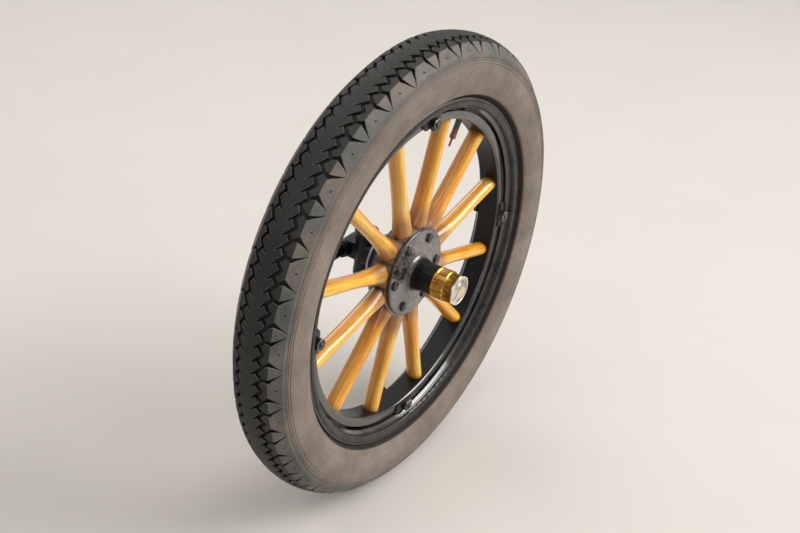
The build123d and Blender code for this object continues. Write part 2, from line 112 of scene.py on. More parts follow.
# Tread pattern of one pitch: places are (degrees round the wheel, mm from the middle of the crown)
PITCHES = 39
PITCH_COLUMNS = 8
PITCH_START = 153.9          # degrees on the wheel where a pitch begins, at the tip of a notch
PITCH_LENGTH = 2 * math.pi * TYRE_RADIUS / PITCHES
CROWN_ROWS = (5.5, 11, 16.5, 22.5)                      # mm from the middle of the crown
ZIGZAG = (22.5, 14.5)        # mm: where the groove round each side turns, outer and inner
GROOVE_WIDTH = 5.6 * MM
SHOULDER_GROOVES = (((0, 22.5), (-1.0, 31.5), (0.1, 42), (1.0, 50.5)),
                    ((0, 22.5), (0.5, 31.5), (-0.4, 41), (-1.3, 50.5)))
SHOULDER_WIDTHS = (GROOVE_WIDTH, 6.2 * MM, 3.0 * MM, 1.0 * MM)
NOTCH = ((0.4, 40), (-0.4, 44.5))
NOTCH_WIDTHS = (2.6 * MM, 2.0 * MM)
SIPE = ((0, 14.5), (0.9, 6.5))
SIPE_WIDTHS = (3.2 * MM, 1.6 * MM)
GROOVE_DEPTH = 6.0 * MM
GROOVE_END = 53 * MM         # from the middle of the crown, where a groove is shallowest
GROOVE_RISE = 18 * MM        # the length over which its floor rises to there
GROOVE_LEFT = 0.06           # the share of its depth that is left there
GROOVE_BREAK = 0.5 * MM      # the chamfer along its edges
SHARPEST_MITRE = 0.4         # keeps a groove's corner from running far out where it turns sharply

# Wheel
SPOKES = 12
WHEEL_ROLL = -2.0            # degrees from 3 o'clock to the first joint between spokes
OUTER_ZONE = 200 * MM        # felloe, lugs and rim stand beyond this radius
INBOARD_ZONE = -24 * MM      # the hub's back, its seal and the knuckle stand behind this
BARREL_FRONT = 30 * MM       # the hub's barrel shows in front of this
BARREL_RADIUS = 46 * MM
HUB_BOLTS = 6
HUB_BOLT_CIRCLE = 56 * MM
HUB_BOLT_ACROSS = 14.3 * MM
HUB_BOLT_HEAD = 4 * MM
HUB_BOLT_SHANK = 4.75 * MM
HUB_BOLT_TAIL = 2 * MM
HUB_BOLT_DOME = 0.8 * MM
LUGS = 4
LUG_TURN = 0.7               # degrees from a spoke joint to a lug's bolt
LUG_CIRCLE = 248.2 * MM
LUG_WIDTH = 46 * MM
LUG_FOOT = 242 * MM
LUG_NOSE = 12 * MM
LUG_SLOPE = 2.2 * MM         # how far the ends of a lug lie back from its front
LUG_TAPER = 5 * MM           # how much further out its foot lies at the ends
LUG_CHAMFER = 0.8 * MM
LUG_STEPS = 8
LUG_BOLT_SHANK = 4.1 * MM
LUG_NUT_ACROSS = 17.5 * MM
LUG_NUT_HEIGHT = 8 * MM
LUG_HEAD_HEIGHT = 6 * MM
LUG_TAIL = 1.6 * MM
FELLOE_OUTER = 255.6 * MM
FELLOE_INSIDE = 241 * MM

# Nuts and bolt heads, as shares of their size across flats
NUT_CORNER = 0.985 / math.sqrt(3)
NUT_TOP = 0.46
NUT_UNDERSIDE = 0.47
NUT_FOOT = 0.03
NUT_SLOPE = 0.6              # the chamfer's height to its width
NUT_STEPS = 4

# Hub cap
CAP_SKIRT = 24.3 * MM
CAP_SKIRT_LENGTH = 22 * MM
CAP_ACROSS = 44.2 * MM
CAP_BEVEL = 3.2 * MM
CAP_FACE_RADIUS = 21.8 * MM
CAP_DISC_RADIUS = 20.6 * MM
CAP_DISC_EDGE = 1.0 * MM
CAP_BOSS_RADIUS = 13 * MM
CAP_BOSS_TAPER = 1.2 * MM
CAP_WEAR = 11 * MM           # the disc's plating is worn through about as far as this
CAP_INSIDE = 19.4 * MM
CAP_THREAD = 21.9 * MM
CAP_SEAT = 13 * MM
CAP_END = 3 * MM
CAP_SHOULDER = CAP_BACK + CAP_SKIRT_LENGTH
CAP_LINES = (3.4 * MM, 5.0 * MM)                        # turned lines, from the skirt's end
CAP_LINE_HALF = 0.5 * MM     # half the width of a line, and its depth
CAP_NECK = 1.5 * MM          # depth of the step between skirt and hexagon
CAP_STEPS = 4

# Tyre valve: places on its outline are (radius, height from the felloe)
VALVE_ANGLE = 2 * 360 / SPOKES + WHEEL_ROLL
VALVE_SHIFT = -5 * MM
VALVE_SEAT = 240.65 * MM
VALVE_FOOT = 263.5 * MM
VALVE_RUST = 226 * MM        # rusty from about this radius to its tip
VALVE_FOOT_RADIUS = 8 * MM
VALVE_FOOT_DEPTH = 2 * MM
VALVE_SHANK = 3.2 * MM
VALVE_NUT_ACROSS = 9.5 * MM
VALVE_NUT_HEIGHT = 9 * MM
VALVE_BODY = (4.4 * MM, 4.8 * MM)                       # root and crest of the thread
VALVE_BODY_START = 10.6 * MM
VALVE_BODY_TURNS = 13
VALVE_COLLAR = ((4.8, 25.2), (5.0, 25.6), (5.0, 29.5), (4.5, 31), (3.2, 31.9), (2.2, 32))    # mm
VALVE_TIP = (1.6 * MM, 1.9 * MM)
VALVE_TIP_START = 32.2 * MM
VALVE_TIP_TURNS = 10
VALVE_TIP_END = ((1.7, 43.4), (1.3, 44.2), (0, 44.3))   # mm
THREAD_PITCH = 1.1 * MM

# Oilers: places on their outline are (radius, height from the kingpin boss), in mm
OILER_ACROSS = 8 * MM
OILER_NUT_HEIGHT = 3 * MM
OILER_STEM = ((0, -2), (2.4, -2), (2.4, 0))
OILER_CAP = ((2.6, 3.1), (2.6, 4.6), (3.4, 5), (3.4, 7.4), (2.6, 8.2), (1.2, 8.7), (0, 8.8))
OILER_REACH = 18 * MM        # from the kingpin's middle to the boss's front
OILER_PLACE = 0.6            # the share of the knuckle's reach up and down from its middle

# Studio, in metres
FLOOR_REACH = 9
SKY_COLOUR = (0.95, 0.97, 1.0, 1.0)
SKY_LIGHT = 0.2              # strength where the surroundings only give light
SKY_SEEN = 0.5               # strength where they are seen, mirrored or seen through
LAMP_COLOUR = (1.0, 0.98, 0.95)
LAMPS = (                    # name, place, width and height, watts, spread in degrees
    ("key", (3.5, -4.8, 4.2), (5.8, 4.2), 138, 80),
    ("top", (-1.3, 0.3, 6.7), (6.4, 6.4), 175, 180),
    ("side", (-3.0, -2.2, 1.6), (0.9, 1.6), 8, 180),
    ("back", (2.6, 4.6, 3.2), (4.0, 3.0), 20, 80),
)
CAMERA_PLACE = (-1.338594, -0.920640, 0.987500)
CAMERA_TURN = (58.01336, -3.74409, -55.08340)           # degrees
CAMERA_LENS = 54.9178        # mm, as is the sensor's width
CAMERA_SENSOR = 36


def srgb(red, green, blue):
    """A colour as it is seen, 0 to 255, as the linear colour that a shader takes."""
    def linear(value):
        value /= 255
        return value / 12.92 if value <= 0.04045 else ((value + 0.055) / 1.055) ** 2.4
    return (linear(red), linear(green), linear(blue), 1.0)


def on_wheel(angle, radius, out):
    """The point at an angle in degrees, a radius, and a distance outboard of the tyre's middle plane."""
    turn = math.radians(angle)
    return AXLE + Vector((radius * math.cos(turn), -out, radius * math.sin(turn)))


def seat(angle, radius=0.0, out=0.0, inwards=False):
    """Where a fitting stands on the wheel: its Z outboard and its X outwards, or its Z inwards."""
    turn = math.radians(angle)
    outward = Vector((math.cos(turn), 0, math.sin(turn)))
    along = Vector((-math.sin(turn), 0, math.cos(turn)))
    outboard = Vector((0, -1, 0))
    axes = (along, -outboard, -outward) if inwards else (outward, along, outboard)
    place = Matrix(axes).transposed().to_4x4()
    place.translation = on_wheel(angle, radius, out)
    return place


class Value:
    """The output of a shader node. Its operators add Math nodes."""

    def __init__(self, paint, socket):
        self.paint = paint
        self.socket = socket

    def math(self, operation, *others):
        return self.paint.node("Math", {"operation": operation}, dict(enumerate((self, *others))))

    def __add__(self, other):
        return self.math("ADD", other)

    def __sub__(self, other):
        return self.math("SUBTRACT", other)

    def __mul__(self, other):
        return self.math("MULTIPLY", other)

    def __truediv__(self, other):
        return self.math("DIVIDE", other)

    def __radd__(self, other):
        return self.math("ADD", other)

    def __rmul__(self, other):
        return self.math("MULTIPLY", other)

    def __rsub__(self, other):
        return self.paint.node("Math", {"operation": "SUBTRACT"}, {0: other, 1: self})

    def between(self, low, high):
        """0 below low and 1 above high, with a smooth rise."""
        return self.paint.node("MapRange", {"interpolation_type": "SMOOTHSTEP"},
                               {"Value": self, "From Min": low, "From Max": high})


class Paint:
    """One material: a Principled shader and the nodes that feed it."""

    def __init__(self, name):
        self.material = bpy.data.materials.new(name)
        self.material.use_nodes = True
        self.tree = self.material.node_tree
        self.shader = self.tree.nodes["Principled BSDF"]

    def node(self, kind, settings, values, output=0):
        """Adds a node: its settings first, then the values or links of its sockets."""
        made = self.tree.nodes.new("ShaderNode" + kind)
        for name, setting in settings.items():
            if name == "stops":
                self.set_stops(made.color_ramp, setting)
            else:
                setattr(made, name, setting)
        for socket, value in values.items():
            self.feed(made.inputs[socket], value)
        return Value(self, made.outputs[output])

    def feed(self, socket, value):
        if isinstance(value, Value):
            self.tree.links.new(value.socket, socket)
        else:
            socket.default_value = value

    @staticmethod
    def set_stops(ramp, stops):
        while len(ramp.elements) < len(stops):
            ramp.elements.new(0.5)
        for element, (place, colour) in zip(ramp.elements, stops):
            element.position = place
            element.color = colour

    def finish(self, **sockets):
        """Sets the Principled shader's sockets; an underscore in a name stands for a space."""
        for name, value in sockets.items():
            self.feed(self.shader.inputs[name.replace("_", " ")], value)
        return self.material

    def place(self):
        return self.node("TexCoord", {}, {}, "Object")

    def mix(self, share, under, over):
        return self.node("Mix", {"data_type": "RGBA"}, {0: share, 6: under, 7: over}, 2)

    def parts(self, vector):
        split = self.node("SeparateXYZ", {}, {0: vector})
        outputs = split.socket.node.outputs
        return tuple(Value(self, outputs[k]) for k in range(3))

    def vector(self, x, y, z):
        return self.node("CombineXYZ", {}, {0: x, 1: y, 2: z})

    def noise(self, vector, scale, detail, roughness=0.55):
        return self.node("TexNoise", {}, {"Vector": vector, "Scale": scale, "Detail": detail,
                                          "Roughness": roughness})

    def bump(self, height, distance, strength):
        return self.node("Bump", {}, {"Height": height, "Distance": distance, "Strength": strength})

    def polar(self):
        """Radius and angle about the spin axis, and the distance outboard of the tyre's middle plane."""
        x, y, z = self.parts(self.place())
        x, z = x - AXLE.x, z - AXLE.z
        radius = (x * x + z * z).math("SQRT")
        return radius, z.math("ARCTAN2", x), AXLE.y - y


def tyre_rubber():
    """Old black rubber, dusty grey-brown on the sidewalls; painted shade darkens the crown, the grooves
    and the neck, a painted shadow rings the rim and the groove edges get wear with a painted highlight.
    """
    paint = Paint("tyre_rubber")
    place = paint.place()
    radius, angle, out = paint.polar()
    groove = paint.node("Attribute", {"attribute_name": "groove"}, {}, "Fac")
    cloud = paint.noise(place, 16, 5, 0.6)
    fine = paint.noise(place, 240, 4, 0.65)
    rings = paint.noise(paint.vector(radius * 3.0, angle * 0.12, out * 0.5), 60, 3)
    tread = radius.between(SHOULDER_FOOT[0] - 14 * MM, SHOULDER_FOOT[0] - 1 * MM)
    crown = radius.between(TREAD_EDGE[0] - 0.8 * MM, TREAD_EDGE[0] + 0.4 * MM)
    dust = cloud.between(0.25, 0.75) * 0.5 + rings * 0.35 + fine * 0.3
    side = paint.mix(dust, srgb(82, 74, 67), srgb(146, 134, 123))
    mottle = paint.noise(place, 44, 4, 0.6)
    side = paint.mix(mottle.between(0.52, 0.66) * 0.3, side, srgb(126, 98, 76))
    specks = paint.noise(place, 330, 1).between(0.68, 0.74)
    side = paint.mix(specks * 0.6, side, srgb(58, 48, 43))
    shoulder = paint.mix(dust, srgb(46, 46, 44), srgb(120, 118, 112))
    earth = (cloud * 0.6 + fine * 0.4).between(0.5, 0.62)
    shoulder = paint.mix(earth * 0.45, shoulder, srgb(138, 104, 72))
    # The crown is darker than the shoulder: less dust, with painted shade.
    top = paint.mix(dust, srgb(15, 15, 14), srgb(52, 50, 46))
    colour = paint.mix(crown, paint.mix(tread, side, shoulder), top)
    # Painted shade in the narrow neck above the rim's lip.
    painted_neck_shade = radius.between(SIDEWALL_LOW[0] - 1 * MM, SIDEWALL_LOW[0] - 9 * MM)
    colour = paint.mix(painted_neck_shade * 0.4, colour, srgb(34, 31, 30))
    # Painted shadow: a near-black ring in the gap between the tyre and the rim's lip, also made rougher.
    seam = radius.between(RIM_RADIUS + 7.5 * MM, RIM_RADIUS + 5.5 * MM)
    colour = paint.mix(seam * 0.9, colour, srgb(10, 9, 9))
    # Pale groove edges: wear with a painted highlight.
    worn_and_highlit_edge = groove.between(0.01, 0.06) * groove.between(0.30, 0.16)
    # Painted shade in the grooves, darkest at their floors.
    colour = paint.mix(groove.between(0.1, 0.5) * 0.94, colour, srgb(14, 13, 13))
    colour = paint.mix(worn_and_highlit_edge * 0.5, colour, srgb(150, 146, 138))
    bump = paint.bump(fine + 0.4 * rings + cloud * crown, 0.6 * MM, 0.6)
    return paint.finish(Base_Color=colour, Roughness=0.52 + 0.25 * fine + 0.3 * seam, Normal=bump,
                        Specular_IOR_Level=0.4)


def black_enamel():
    """Black enamel, dusty and mottled on the outboard faces; painted shade makes barrel, bore, back and
    lug fronts darker and duller and darkens the plate's edge, and the rim's lip has wear with a painted
    highlight.
    """
    paint = Paint("black_enamel")
    place = paint.place()
    radius, _, out = paint.polar()
    cloud = paint.noise(place, 26, 5, 0.6)
    speckle = paint.noise(place, 170, 3, 0.6)
    dust = paint.noise(place, 420, 3, 0.7)
    # Painted shade: barrel, felloe bore, hub back and lug fronts lose the dust film and most of the
    # coat, so they read darker and duller.
    barrel = out.between(BARREL_FRONT - 8 * MM, BARREL_FRONT)
    barrel = barrel * radius.between(BARREL_RADIUS + 14 * MM, BARREL_RADIUS)
    bore = radius.between(FELLOE_INSIDE + 0.5 * MM, FELLOE_INSIDE + 0.2 * MM)
    bore = bore * radius.between(OUTER_ZONE - 20 * MM, OUTER_ZONE)
    behind = out.between(INBOARD_ZONE + 6 * MM, INBOARD_ZONE)
    behind = behind * radius.between(OUTER_ZONE, OUTER_ZONE - 20 * MM)
    painted_shade_zone = barrel.math("MAXIMUM", bore).math("MAXIMUM", behind)
    lugs = out.between(FELLOE_FRONT + 0.2 * MM, FELLOE_FRONT + 0.5 * MM)
    lugs = lugs * radius.between(RIM_INSIDE, RIM_INSIDE - 1 * MM)
    painted_shade_zone = painted_shade_zone.math("MAXIMUM", lugs * radius.between(OUTER_ZONE, OUTER_ZONE + 10 * MM) * 0.75)
    plate = radius.between(PLATE_RADIUS + 2 * MM, PLATE_RADIUS - 0.5 * MM)
    # Painted shade: a darker band just inside the plate's edge.
    edge = radius.between(PLATE_RADIUS - 2.2 * MM, PLATE_RADIUS - 0.8 * MM) * plate
    film = (cloud * 0.45 + speckle * 0.35 + dust * 0.2).between(0.42, 0.56) * (0.2 + 0.8 * plate)
    film = film * (1 - painted_shade_zone) * (1 - 0.8 * edge)
    colour = paint.mix(film * 0.62, srgb(11, 11, 12), srgb(132, 123, 116))
    # A pale line round the rim's lip: wear with a painted highlight.
    lip_wear_and_highlight = radius.between(RIM_RADIUS - 1.4 * MM, RIM_RADIUS - 0.5 * MM)
    colour = paint.mix(lip_wear_and_highlight * (0.25 + 0.6 * cloud), colour, srgb(172, 164, 156))
    dull = radius.between(RIM_RADIUS - 15 * MM, RIM_RADIUS - 14 * MM)
    dull = dull * out.between(RIM_HALF - 7.3 * MM, RIM_HALF - 6.9 * MM)
    bump = paint.bump(paint.noise(place, 38, 2), 0.25 * MM, 0.1)
    return paint.finish(Base_Color=colour, Roughness=0.24 + 0.14 * film + 0.2 * painted_shade_zone + 0.16 * dull,
                        Normal=bump, IOR=1.35, Coat_Weight=(1 - 0.94 * painted_shade_zone) * (1 - 0.8 * dull),
                        Coat_Roughness=0.08, Coat_IOR=1.65)


def varnished_wood():
    """Golden hickory under thick varnish; the grain runs along each spoke, dark at its root, with
    painted shade on its flanks, in the joints and at its tip.
    """
    paint = Paint("varnished_wood")
    radius, angle, out = paint.polar()
    step = math.radians(360 / SPOKES)
    turn = (angle - math.radians(WHEEL_ROLL)) / step
    number = turn.math("FLOOR")
    across = (turn - number - 0.5) * step * radius
    shade = number.math("SINE") * 0.5 + 0.5
    fibre = paint.vector(across * 26, out * 26, radius * 1.3 + number * 3.7)
    grain = paint.noise(fibre, 14, 5, 0.62)
    figure = paint.noise(paint.vector(across * 9, out * 9, radius * 1.1 + number * 5.3), 8, 3)
    pores = paint.noise(paint.vector(across * 120, out * 120, radius * 5 + number), 18, 2)
    pores = pores.between(0.60, 0.72)
    colour = paint.node("ValToRGB", {"stops": [
        (0.30, srgb(200, 100, 4)), (0.42, srgb(248, 160, 16)), (0.54, srgb(255, 200, 56)),
        (0.68, srgb(255, 240, 160))]}, {0: grain * 0.6 + figure * 0.4})
    colour = paint.mix(shade * 0.15, colour, srgb(222, 128, 18))
    colour = paint.mix(pores * 0.4, colour, srgb(110, 54, 8))
    # Painted shade down both flanks of each spoke.
    painted_flank_shade = across.math("ABSOLUTE").between(5 * MM, 10 * MM)
    colour = paint.mix(painted_flank_shade * 0.45, colour, srgb(172, 80, 6))
    stain = (radius - figure * 36 * MM).between(PLATE_RADIUS + 28 * MM, PLATE_RADIUS - 2 * MM)
    stain = stain * (0.35 + 0.65 * grain)
    colour = paint.mix(stain * 0.9, colour, srgb(98, 42, 28))
    seam = across.math("ABSOLUTE") - radius * math.tan(step / 2)
    # Painted shade in the joints between the spokes near the hub.
    painted_joint_shade = (seam + 5.5 * MM).between(0, 4.5 * MM)
    painted_joint_shade = painted_joint_shade * radius.between(PLATE_RADIUS + 34 * MM, PLATE_RADIUS + 22 * MM)
    colour = paint.mix(painted_joint_shade * 0.92, colour, srgb(40, 18, 8))
    root = radius.between(PLATE_RADIUS + 6 * MM, PLATE_RADIUS + 2 * MM)
    colour = paint.mix(root * 0.7, colour, srgb(52, 26, 14))
    # Painted shade at each spoke's end by the felloe.
    painted_tip_shade = radius.between(FELLOE_INSIDE - 10 * MM, FELLOE_INSIDE - 1 * MM)
    colour = paint.mix(painted_tip_shade * 0.5, colour, srgb(120, 66, 22))
    bump = paint.bump(grain, 0.3 * MM, 0.25)
    return paint.finish(Base_Color=colour, Roughness=0.3 + 0.15 * figure, Normal=bump,
                        Coat_Weight=1.0, Coat_Roughness=0.17)


def cap_brass():
    """Brass, tarnished in patches, with painted shade on the hexagon and a pale band round its face that
    is wear with a painted highlight.
    """
    paint = Paint("cap_brass")
    place = paint.place()
    _, angle, out = paint.polar()
    cloud = paint.noise(place, 60, 4)
    fine = paint.noise(place, 700, 3)
    lines = paint.noise(paint.vector(angle * 1.2, out * 6, 0.0), 6, 1)
    tarnish = (cloud * 0.4 + lines * 0.6).between(0.3, 0.7)
    colour = paint.mix(tarnish, srgb(236, 190, 98), srgb(150, 104, 42))
    # Painted shade: the hexagon darker than the skirt.
    painted_hexagon_shade = out.between(CAP_SHOULDER + 0.2 * MM, CAP_SHOULDER + 1.4 * MM)
    colour = paint.mix(painted_hexagon_shade * 0.6, colour, srgb(146, 98, 42))
    # A pale cream band round the face's bevel: wear with a painted highlight.
    worn_and_highlit_bevel = out.between(CAP_FRONT - CAP_BEVEL - 0.2 * MM, CAP_FRONT - CAP_BEVEL + 0.8 * MM)
    colour = paint.mix(worn_and_highlit_bevel * 0.92, colour, srgb(250, 240, 212))
    bump = paint.bump(fine, 0.05 * MM, 0.3)
    return paint.finish(Base_Color=colour, Roughness=0.2 + 0.3 * cloud * fine + 0.12 * worn_and_highlit_bevel,
                        Metallic=1.0, Normal=bump)


def nickel():
    """Nickel plate worn through to pale brass in the middle."""
    paint = Paint("nickel")
    place = paint.place()
    radius, _, _ = paint.polar()
    cloud = paint.noise(place, 90, 4)
    coarse = paint.noise(place, 170, 2)
    worn = (coarse + (CAP_WEAR - radius) * 24).between(0.5, 0.6)
    colour = paint.mix(cloud.between(0.35, 0.65), srgb(226, 223, 224), srgb(150, 146, 148))
    colour = paint.mix(worn * 0.85, colour, srgb(246, 226, 160))
    bump = paint.bump(cloud, 0.3 * MM, 0.5)
    return paint.finish(Base_Color=colour, Roughness=0.3 + 0.3 * cloud, Metallic=1.0, Normal=bump)


def dark_iron():
    """Black-painted bolts and nuts, chipped and dusty; the lug nuts' chamfers carry a pale ring of wear
    with a painted highlight.
    """
    paint = Paint("dark_iron")
    place = paint.place()
    cloud = paint.noise(place, 120, 4, 0.6)
    chips = paint.noise(place, 420, 3).between(0.62, 0.7)
    colour = paint.mix(cloud.between(0.5, 0.8) * 0.5, srgb(20, 19, 19), srgb(84, 76, 68))
    colour = paint.mix(chips * 0.5, colour, srgb(96, 66, 46))
    radius, _, out = paint.polar()
    nut_face = LUG_BOLT_FRONT - LUG_TAIL
    # A pale ring on the lug nuts' chamfers: rubbed wear with a painted highlight.
    rubbed_and_highlit_ring = out.between(nut_face - 2.0 * MM, nut_face - 1.0 * MM)
    rubbed_and_highlit_ring = rubbed_and_highlit_ring * out.between(nut_face, nut_face - 0.3 * MM)
    rubbed_and_highlit_ring = rubbed_and_highlit_ring * radius.between(OUTER_ZONE, OUTER_ZONE + 10 * MM)
    colour = paint.mix(rubbed_and_highlit_ring * cloud.between(0.3, 0.6) * 0.8, colour, srgb(170, 156, 144))
    bump = paint.bump(cloud, 0.3 * MM, 0.5)
    return paint.finish(Base_Color=colour, Roughness=0.26 + 0.3 * cloud, Normal=bump, IOR=1.5,
                        Coat_Weight=0.4, Coat_Roughness=0.15)


def steel():
    """Ground bearing steel with a film of oil."""
    paint = Paint("steel")
    radius, angle, out = paint.polar()
    lines = paint.noise(paint.vector(radius * 40, angle * 0.2, out * 40), 40, 3)
    colour = paint.mix(lines, srgb(150, 148, 145), srgb(190, 188, 184))
    return paint.finish(Base_Color=colour, Roughness=0.22 + 0.2 * lines, Metallic=1.0,
                        Normal=paint.bump(lines, 0.03 * MM, 0.5))


def bronze():
    """Cast bronze bushes, brown with age."""
    paint = Paint("bronze")
    cloud = paint.noise(paint.place(), 150, 4)
    colour = paint.mix(cloud, srgb(150, 98, 56), srgb(186, 132, 78))
    return paint.finish(Base_Color=colour, Roughness=0.3 + 0.2 * cloud, Metallic=1.0,
                        Normal=paint.bump(cloud, 0.1 * MM, 0.5))


def valve_metal():
    """Plated brass stem, green-grey by the felloe and rusty brown towards its end."""
    paint = Paint("valve_metal")
    radius, angle, out = paint.polar()
    cloud = paint.noise(paint.place(), 260, 4)
    rust = (VALVE_RUST - radius + cloud * 5 * MM).between(0.0, 4 * MM)
    colour = paint.mix(rust, srgb(104, 118, 108), srgb(132, 96, 66))
    dirt = paint.noise(paint.vector(radius * 200, angle * 300, out * 90), 1.0, 3).between(0.5, 0.7)
    colour = paint.mix(dirt * 0.6, colour, srgb(38, 30, 26))
    return paint.finish(Base_Color=colour, Roughness=0.45 + 0.25 * cloud, Metallic=0.7 - 0.5 * rust,
                        Normal=paint.bump(cloud, 0.2 * MM, 0.6))


FINISHES = (tyre_rubber, black_enamel, varnished_wood, cap_brass, nickel, dark_iron, steel, bronze,
            valve_metal)
materials = {make.__name__: make() for make in FINISHES}


def dress_frame():
    """Gives every node of the frame the finish that its material slot names."""
    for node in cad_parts.values():
        for slot in node.material_slots:
            name = slot.material.name.split(".")[0]
            if name in materials:
                slot.material = materials[name]


def piece(name, bm, finish, sharp, body="wheel", replaces=None):
    """Closes a bmesh into an object that rides on a body; edges over sharp degrees stay crisp."""
    bmesh.ops.recalc_face_normals(bm, faces=bm.faces)
    mesh = bpy.data.meshes.new(name)
    bm.to_mesh(mesh)
    bm.free()
    mesh.shade_smooth()
    mesh.set_sharp_from_angle(angle=math.radians(sharp))
    mesh.materials.append(materials[finish])
    made = bpy.data.objects.new(name, mesh)
    bpy.context.scene.collection.objects.link(made)
    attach(made, body)
    if replaces:
        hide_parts(replaces)


class Arc:
    """The circle through three points of a plane, from start over middle to end."""

    def __init__(self, start, middle, end):
        (ax, ay), (bx, by), (cx, cy) = start, middle, end
        double = 2 * (ax * (by - cy) + bx * (cy - ay) + cx * (ay - by))
        a, b, c = ax * ax + ay * ay, bx * bx + by * by, cx * cx + cy * cy
        self.centre = Vector(((a * (by - cy) + b * (cy - ay) + c * (ay - by)) / double,
                              (a * (cx - bx) + b * (ax - cx) + c * (bx - ax)) / double))
        self.first = Vector(start) - self.centre
        half = Vector(middle) - self.centre
        self.turn = self.first.angle_signed(half) + half.angle_signed(Vector(end) - self.centre)
        self.length = self.first.length * abs(self.turn)

    def at(self, run, height=0.0):
        """The point a run along the arc from its start, lifted off it by a height."""
        spoke = self.first * (1 + height / self.first.length)
        spoke.rotate(Matrix.Rotation(-self.turn * run / self.length, 2))
        return tuple(self.centre + spoke)


def lathe(outline, steps, across=0.0, zone=(-math.inf, math.inf)):
    """Turns an outline of (radius, height) about Z.

    Within a zone of heights, a size across flats cuts it to a hexagon with a flat towards X.
    """
    bm = bmesh.new()
    verts = [bm.verts.new((radius, 0, height)) for radius, height in outline]
    for a, b in zip(verts, verts[1:]):
        bm.edges.new((a, b))
    bmesh.ops.spin(bm, geom=bm.verts[:] + bm.edges[:], cent=(0, 0, 0), axis=(0, 0, 1), dvec=(0, 0, 0),
                   angle=2 * math.pi, steps=steps, use_merge=True)
    bmesh.ops.remove_doubles(bm, verts=bm.verts, dist=0.001 * MM)
    if across:
        for vert in bm.verts:
            radius = vert.co.xy.length
            if radius > 0 and zone[0] <= vert.co.z <= zone[1]:
                wedge = (math.atan2(vert.co.y, vert.co.x) + math.pi / 6) % (math.pi / 3) - math.pi / 6
                flat = across / 2 / math.cos(wedge)
                vert.co.xy *= min(1.0, flat / radius)
    return bm


def repeated(part, places):
    """A part set at each of the places, as one bmesh."""
    mesh = bpy.data.meshes.new("part")
    part.to_mesh(mesh)
    part.free()
    bm = bmesh.new()
    for place in places:
        count = len(bm.verts)
        bm.from_mesh(mesh)
        bmesh.ops.transform(bm, matrix=place, verts=bm.verts[count:])
    bpy.data.meshes.remove(mesh)
    return bm


def nut_blank(across, base, top):
    """The round blank of a hexagon from its base to its chamfered top, as (radius, height)."""
    corner = across * NUT_CORNER
    rim = across * NUT_TOP
    run = (corner - rim) * math.copysign(NUT_SLOPE, top - base)
    foot = math.copysign(NUT_FOOT * across, top - base)
    steps = [k / NUT_STEPS for k in range(NUT_STEPS + 1)]
    return [(across * NUT_UNDERSIDE, base), (corner, base + foot)] + [
        (corner + (rim - corner) * share, top - run * (1 - share)) for share in steps]


SIDEWALL = Arc(SHOULDER_FOOT, (SIDE_MIDDLE, TYRE_HALF), SIDEWALL_LOW)


def tread_section(across, height):
    """Radius and distance outboard of a point of the flat strip, laid over the tyre's section."""
    side = math.copysign(1.0, across)
    reach = abs(across)
    if reach <= TREAD_HALF:
        lean = reach / CROWN_ARC
        radius = TYRE_RADIUS - CROWN_ARC * (1 - math.cos(lean)) + height * math.cos(lean)
        out = CROWN_ARC * math.sin(lean) + height * math.sin(lean)
    elif reach <= TREAD_HALF + SHOULDER_RUN:
        along = (reach - TREAD_HALF) / SHOULDER_RUN
        run = (SHOULDER_FOOT[0] - TREAD_EDGE[0], SHOULDER_FOOT[1] - TREAD_EDGE[1])
        radius = TREAD_EDGE[0] + run[0] * along + height * run[1] / SHOULDER_RUN
        out = TREAD_EDGE[1] + run[1] * along - height * run[0] / SHOULDER_RUN
    else:
        radius, out = SIDEWALL.at(reach - TREAD_HALF - SHOULDER_RUN, height)
    return radius, side * out


def band(points, widths):
    """The four-cornered stretches of a groove along points, mitred where they meet."""
    points = [Vector(p) for p in points]
    runs = [(b - a).normalized() for a, b in zip(points, points[1:])]
    rails = []
    for k, point in enumerate(points):
        before, after = runs[max(k - 1, 0)], runs[min(k, len(runs) - 1)]
        normal = (Vector((-before.y, before.x)) + Vector((-after.y, after.x))).normalized()
        spread = widths[k] / 2 / max(normal.dot(Vector((-after.y, after.x))), SHARPEST_MITRE)
        rails.append((point + normal * spread, point - normal * spread))
    return [(a[0], b[0], b[1], a[1]) for a, b in zip(rails, rails[1:])]


def laid(route, side, start=0.0):
    """A route in the flat strip, from a start in degrees. The second side lies half a pitch on."""
    degree = PITCH_LENGTH / (360 / PITCHES)
    shift = 0.0 if side > 0 else PITCH_LENGTH / 2
    return [((start + angle) * degree + shift, side * (run * MM)) for angle, run in route]


def groove_stretches():
    """Every groove of one pitch as stretches in the flat strip, x along the tyre and y across it."""
    third = 360 / PITCHES / 3
    ring = [(k * third / 2, ZIGZAG[k % 2]) for k in range(-1, 8)]
    found = []
    for side in (1, -1):
        found += band(laid(ring, side), [GROOVE_WIDTH] * len(ring))
        for number, route in enumerate(SHOULDER_GROOVES, 1):
            found += band(laid(route, side, number * third), SHOULDER_WIDTHS)
        found += band(laid(NOTCH, side), NOTCH_WIDTHS)
        for valley in (1, 3, 5):
            found += band(laid(SIPE, side, valley * third / 2), SIPE_WIDTHS)
    return found


def crosses(face, start, end):
    """Whether the run from start to end passes over a flat face."""
    xs = [v.co.x for v in face.verts]
    ys = [v.co.y for v in face.verts]
    low, high = 0.0, 1.0
    for begin, change, least, most in ((start.x, end.x - start.x, min(xs), max(xs)),
                                       (start.y, end.y - start.y, min(ys), max(ys))):
        if abs(change) < 1e-9:
            if begin < least or begin > most:
                return False
            continue
        near, far = sorted(((least - begin) / change, (most - begin) / change))
        low, high = max(low, near), min(high, far)
    return low < high


def inside(point, corners):
    """Whether a point of the flat strip lies in a four-cornered stretch."""
    sides = [(b - a).cross(point.xy - a) for a, b in zip(corners, corners[1:] + corners[:1])]
    return all(s >= 0 for s in sides) or all(s <= 0 for s in sides)


